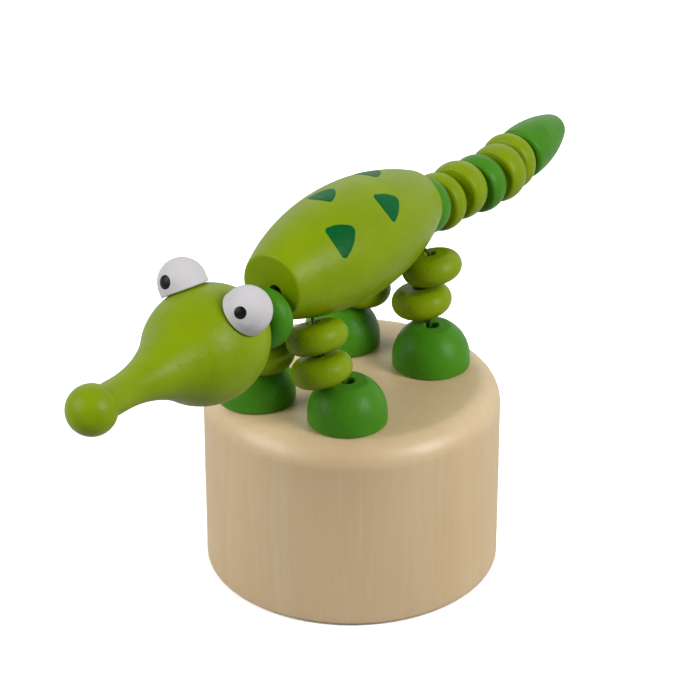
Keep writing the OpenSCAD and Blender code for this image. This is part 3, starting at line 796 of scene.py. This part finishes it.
def spot(name, start, angle, skew, width, length):
    """start is the front edge's place from the body's middle; angle is from straight up, in degrees."""
    outline = rounded_triangle(width, length, skew)
    n = len(outline)
    mid = sum(outline) / n
    girth_r = barrel_r(start + length / 3)
    verts = []
    for k, share in enumerate(SPOT_RINGS):
        lift = SPOT_LIFT if share < 1 else SPOT_SINK
        for p in ([mid] if k == 0 else outline):
            around, along = mid + (p - mid) * share
            verts.append(over_body(start + along, math.radians(angle) + around / girth_r, lift))
    faces = [(0, 1 + j, 1 + (j + 1) % n) for j in range(n)]
    for k in range(1, len(SPOT_RINGS) - 1):
        inner, outer = 1 + (k - 1) * n, 1 + k * n
        for j in range(n):
            q = (j + 1) % n
            faces.append((inner + j, outer + j, outer + q, inner + q))
    mesh = bpy.data.meshes.new(name)
    mesh.from_pydata(verts, [], faces)
    bm = bmesh.new()
    bm.from_mesh(mesh)
    bmesh.ops.recalc_face_normals(bm, faces=bm.faces)
    if sum(looks_out(f) for f in bm.faces) < 0:
        bmesh.ops.reverse_faces(bm, faces=bm.faces)
    bm.to_mesh(mesh)
    bm.free()
    mesh.polygons.foreach_set("use_smooth", [True] * len(mesh.polygons))
    return place(name, mesh, "torso", DEEP)


spot("spot_left_front", start=-11.6, angle=47.0, skew=-0.8, width=7.3, length=5.8)
spot("spot_left_rear", start=1.3, angle=42.0, skew=-0.5, width=6.8, length=5.7)
spot("spot_right_front", start=-5.7, angle=-9.5, skew=0.0, width=6.2, length=5.4)
spot("spot_right_rear", start=7.0, angle=-9.5, skew=0.0, width=6.0, length=5.3)

# Pupils: black pegs set in the eyes
for k, side in enumerate(SIDES):
    lathe("pupil_peg_" + side, pupil_profile(PUPIL_R[k]), HEAD_C + EYE_AXIS[k] * EYE_MID, LOOK[k],
          "skull", BLACK, ["pupil_" + side], segments=48, ring=False)


# Threads: short pieces that cross each gap
def tube(name, points, radius, look, sides=10):
    """A round tube along points in millimetres, its rings carried along without twisting."""
    p = [np.asarray(q, float) for q in points]
    verts, faces = [], []
    u = np.array([1.0, 0.3, 0.2])
    for i in range(len(p)):
        t = unit(p[min(i + 1, len(p) - 1)] - p[max(i - 1, 0)])
        u = unit(u - t * (u @ t))
        w = np.cross(t, u)
        for j in range(sides):
            a = 2 * math.pi * j / sides
            verts.append(tuple((p[i] + radius * (u * math.cos(a) + w * math.sin(a))) * MM))
    for i in range(len(p) - 1):
        for j in range(sides):
            k = (j + 1) % sides
            faces.append((i * sides + j, i * sides + k, (i + 1) * sides + k, (i + 1) * sides + j))
    faces.append(tuple(reversed(range(sides))))
    faces.append(tuple(range((len(p) - 1) * sides, len(p) * sides)))
    mesh = bpy.data.meshes.new(name)
    mesh.from_pydata(verts, [], faces)
    mesh.polygons.foreach_set("use_smooth", [len(f) == 4 for f in faces])
    mesh.materials.append(look)
    o = bpy.data.objects.new(name, mesh)
    scene.collection.objects.link(o)
    return o


def rounded(points, steps=5):
    """The same path with its corners eased, by a spline through the points."""
    p = [np.asarray(q, float) for q in points]
    p = [2 * p[0] - p[1]] + p + [2 * p[-1] - p[-2]]
    out = []
    for i in range(1, len(p) - 2):
        a, b, c, d = p[i - 1:i + 3]
        square, cube = 2 * a - 5 * b + 4 * c - d, 3 * b - a - 3 * c + d
        for k in range(steps):
            t = k / steps
            out.append(0.5 * (2 * b + (c - a) * t + square * t * t + cube * t ** 3))
    return out + [p[-2]]


def strand(name, points, bodies, node):
    """A bit of thread that rides on one body, or, when it spans two, is left unattached where it was built.
    """
    o = tube(name, rounded(points), THREAD_R, THREAD)
    if len(bodies) == 2:
        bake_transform(o)
    else:
        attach(o, bodies[0])
    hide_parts(node)


def limit(v, most):
    n = np.linalg.norm(v)
    return v * most / n if n > most else v


# How a thread leaves a bore: its length inside, a point near the mouth, and its share of the gap outside
HOP_REACH = 1.6
HOP_NEAR = 0.1
HOP_RISE = 0.4
HIP_REACH = 3


def hop(mouth_a, axis_a, slip_a, mouth_b, axis_b, slip_b, side=(0, 0, 0)):
    """Points that carry a thread out of one bore's mouth and into the next, midway between the two faces."""
    shift = mouth_b - mouth_a
    shift = shift - axis_a * (shift @ axis_a)
    a = mouth_a + limit(shift / 2, slip_a) + np.asarray(side)
    b = mouth_b - limit(shift / 2, slip_b) + np.asarray(side)
    dot = axis_a @ axis_b
    gap_a = ((mouth_b - a) @ axis_b) / dot
    gap_b = ((b - mouth_a) @ axis_a) / dot
    return [a - axis_a * HOP_REACH, a - axis_a * HOP_NEAR, a + axis_a * gap_a * HOP_RISE,
            b - axis_b * gap_b * HOP_RISE, b + axis_b * HOP_NEAR, b + axis_b * HOP_REACH]


# How far a thread may lie from the middle of each kind of hole
SLIP = HOLE_R - THREAD_R - THREAD_CLEAR
BODY_SLIP = BODY_HOLE_R - PAIR_GAP - THREAD_R - THREAD_CLEAR
# Heights of a thread's points from its knot under the button up into the base's roof
UNDER_Z = (KNOT_Z, KNOT_Z + 2.5, 9.5, 14, 20, ROOF_Z + 0.5, ROOF_Z + 3)
KNOT = [(0, -KNOT_R)] + arc(0, 0, KNOT_R, -70, 70, steps=8) + [(0, KNOT_R)]
for i, leg in enumerate(LEGS):
    node = "thread_" + leg
    foot_top = np.array([*FOOT_XY[i], BASE_H + FOOT_H])
    low_foot, low_top = LOW_C[i] - LOW_AXIS[i] * HALF_BEAD, LOW_C[i] + LOW_AXIS[i] * HALF_BEAD
    up_foot = UP_C[i] - UP_AXIS[i] * HALF_BEAD
    hip = [LEG_TOP[i] - UP_AXIS[i] * HOP_REACH, LEG_TOP[i],
           LEG_TOP[i] + unit(LEG_JOIN[i] - LEG_TOP[i]) * HIP_REACH]
    strand("thread_under_" + leg, [(*FOOT_XY[i], z) for z in UNDER_Z], ("button", "stand"), node)
    strand("thread_foot_" + leg, hop(foot_top, UP, SLIP, low_foot, LOW_AXIS[i], SLIP),
           ("stand", "lower_" + leg), node)
    strand("thread_knee_" + leg, hop(low_top, LOW_AXIS[i], SLIP, up_foot, UP_AXIS[i], SLIP),
           ("lower_" + leg, "upper_" + leg), node)
    strand("thread_hip_" + leg, hip, ("upper_" + leg,), node)
    lathe("knot_" + leg, KNOT, (*FOOT_XY[i], KNOT_Z), UP,
          "button", THREAD, [node], segments=16, ring=False)

# The front pair goes on through the neck into the head, the rear pair through the tail into its tip
NECK_MOUTHS = [(FRONT_MOUTH, -AXIS_Y, BODY_SLIP), (NECK_C - NECK_AXIS * HALF_BEAD, NECK_AXIS, PAIR_SLIP)]
NAPE_MOUTHS = [(NECK_C + NECK_AXIS * HALF_BEAD, NECK_AXIS, PAIR_SLIP), (HEAD_END, HEAD_AXIS, PAIR_SLIP)]
TAIL_MOUTHS = [(REAR_MOUTH, AXIS_Y, BODY_SLIP)]
for c, a in zip(TAIL_C, TAIL_AXIS):
    TAIL_MOUTHS += [(c - a * HALF_BEAD, a, PAIR_SLIP), (c + a * HALF_BEAD, a, PAIR_SLIP)]
TAIL_MOUTHS.append((TIP_ROOT, TIP_AXIS, PAIR_SLIP))
TAIL_BODIES = ["torso"] + ["tail_%d" % (k + 1) for k in range(TAIL_BEADS)] + ["tail_end"]
for leg, dx in zip(SIDES, (PAIR_GAP, -PAIR_GAP)):
    side = (dx, 0, 0)
    front, rear = "thread_front_" + leg, "thread_rear_" + leg
    strand("thread_neck_" + leg, hop(*NECK_MOUTHS[0], *NECK_MOUTHS[1], side), ("torso", "neck"), front)
    strand("thread_nape_" + leg, hop(*NAPE_MOUTHS[0], *NAPE_MOUTHS[1], side), ("neck", "skull"), front)
    for k in range(TAIL_BEADS + 1):
        strand("thread_tail_%d_%s" % (k + 1, leg), hop(*TAIL_MOUTHS[2 * k], *TAIL_MOUTHS[2 * k + 1], side),
               (TAIL_BODIES[k], TAIL_BODIES[k + 1]), rear)

# The return spring: one wire from the button up to the base's roof
SPRING_POINTS = 176
spring_low, spring_high = BUTTON_TOP + WIRE_R, ROOF_Z - WIRE_R
coil = []
for share in np.linspace(0, 1, SPRING_POINTS):
    turn = 2 * math.pi * SPRING_TURNS * share
    coil.append((SPRING_R * math.cos(turn), SPRING_R * math.sin(turn),
                 spring_low + (spring_high - spring_low) * share))
spring = tube("spring_wound", coil, WIRE_R, STEEL, sides=12)
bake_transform(spring)
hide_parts("return_spring")

# The button is the CAD piece itself, with the darker copy of the wood, painted shade for its place inside the
# bore
nodes["push_button"].data.materials.clear()
nodes["push_button"].data.materials.append(WOOD_IN_PAINTED_SHADE)

# Floor, with its sizes in metres
FLOOR_SIZE = 6
FLOOR_DROP = 0.0002
FLOOR_BOUNCE = (0.16, 0.16, 0.16, 1)
FLOOR_MIRRORED = (0.9, 0.9, 0.9, 1)
FLOOR_SEEN = (1.95, 1.95, 1.95, 1)
# Between these distances from the toy the floor turns into plain white, as the lamps don't reach there
FLOOR_FADE = (0.15, 0.4)


def floor_look():
    """Pale to the camera and in reflections, darker as a bounce, to spare the toy most light from below."""
    m = bpy.data.materials.new("floor_white")
    m.use_nodes = True
    t = m.node_tree
    t.nodes.clear()
    out = add(t, "ShaderNodeOutputMaterial")
    path = add(t, "ShaderNodeLightPath")
    camera_ray = path.outputs["Is Camera Ray"]
    cloth = add(t, "ShaderNodeBsdfDiffuse", Roughness=0.0)
    tone = blend_colour(t, path.outputs["Is Glossy Ray"], FLOOR_BOUNCE, FLOOR_MIRRORED)
    t.links.new(blend_colour(t, camera_ray, tone, FLOOR_SEEN), cloth.inputs["Color"])
    white = add(t, "ShaderNodeEmission", Strength=1.0)
    away = add(t, "ShaderNodeVectorMath", operation="LENGTH")
    t.links.new(add(t, "ShaderNodeTexCoord").outputs["Object"], away.inputs[0])
    far = maths(t, "MULTIPLY", span(t, away.outputs["Value"], FLOOR_FADE, (0.0, 1.0)), camera_ray)
    mix = add(t, "ShaderNodeMixShader")
    t.links.new(far, mix.inputs[0])
    t.links.new(cloth.outputs["BSDF"], mix.inputs[1])
    t.links.new(white.outputs["Emission"], mix.inputs[2])
    t.links.new(mix.outputs["Shader"], out.inputs["Surface"])
    return m


bpy.ops.mesh.primitive_plane_add(size=FLOOR_SIZE, location=(0, 0, -FLOOR_DROP))
floor = bpy.context.object
floor.name = "floor"
floor.data.materials.append(floor_look())

# The photo's view; the camera's distance and its target are in millimetres
HEADING = math.radians(35.3)
ELEVATION = math.radians(27.33)
CAMERA_AWAY = 451
CAMERA_LENS = 138.86
SENSOR = 36
BACK = np.array([math.sin(HEADING) * math.cos(ELEVATION), -math.cos(HEADING) * math.cos(ELEVATION),
                 math.sin(ELEVATION)])
RIGHT = np.array([math.cos(HEADING), math.sin(HEADING), 0])
CAMERA_UP = np.cross(BACK, RIGHT)
TARGET = RIGHT * -0.33 + UP * 38.52

# Strength of the room's light in front of the toy and beyond it
ROOM_FRONT, ROOM_BEYOND = 0.16, 0.6
# Where one turns into the other, as the cosine of the angle to the photo's line of sight
ROOM_EDGES = (-0.3, 0.5)


def studio_world():
    """Bright beyond the toy and darker in front of it, doubled in reflections, and white to the camera."""
    world = bpy.data.worlds.new("studio")
    world.use_nodes = True
    t = world.node_tree
    t.nodes.clear()
    out = add(t, "ShaderNodeOutputWorld")
    sky = add(t, "ShaderNodeBackground", Color=(1, 1, 1, 1))
    path = add(t, "ShaderNodeLightPath")
    beyond = add(t, "ShaderNodeVectorMath", operation="DOT_PRODUCT")
    beyond.inputs[1].default_value = tuple(-BACK)
    t.links.new(add(t, "ShaderNodeTexCoord").outputs["Generated"], beyond.inputs[0])
    room = span(t, beyond.outputs["Value"], ROOM_EDGES, (ROOM_FRONT, ROOM_BEYOND))
    mirrored = maths(t, "MULTIPLY", room, maths(t, "ADD", path.outputs["Is Glossy Ray"], 1.0))
    strength = maths(t, "MAXIMUM", mirrored, path.outputs["Is Camera Ray"])
    t.links.new(strength, sky.inputs["Strength"])
    t.links.new(sky.outputs["Background"], out.inputs["Surface"])
    return world


def softbox(name, right, up, back, size, power):
    """An area light placed from the camera's point of view, aimed at the toy; places in metres."""
    d = bpy.data.lights.new(name, "AREA")
    d.shape = "RECTANGLE"
    d.size, d.size_y = size
    d.energy = power
    o = bpy.data.objects.new(name, d)
    scene.collection.objects.link(o)
    at = TARGET * MM + RIGHT * right + CAMERA_UP * up + BACK * back
    o.location = at
    o.rotation_mode = "QUATERNION"
    o.rotation_quaternion = Vector(TARGET * MM - at).to_track_quat("-Z", "Y")


scene.world = studio_world()
softbox("key", right=0.75, up=0.27, back=0.59, size=(0.35, 0.5), power=7.4)
softbox("fill", right=-0.78, up=0.3, back=0.5, size=(0.6, 0.6), power=6.5)

# Camera
lens = bpy.data.cameras.new("camera")
lens.lens = CAMERA_LENS
lens.sensor_width = SENSOR
lens.clip_start = 0.01
lens.clip_end = 20
camera = bpy.data.objects.new("camera", lens)
scene.collection.objects.link(camera)
camera.location = (TARGET + BACK * CAMERA_AWAY) * MM
camera.rotation_mode = "QUATERNION"
camera.rotation_quaternion = Vector(-BACK).to_track_quat("-Z", "Y")
scene.camera = camera
scene.view_settings.view_transform = "Standard"
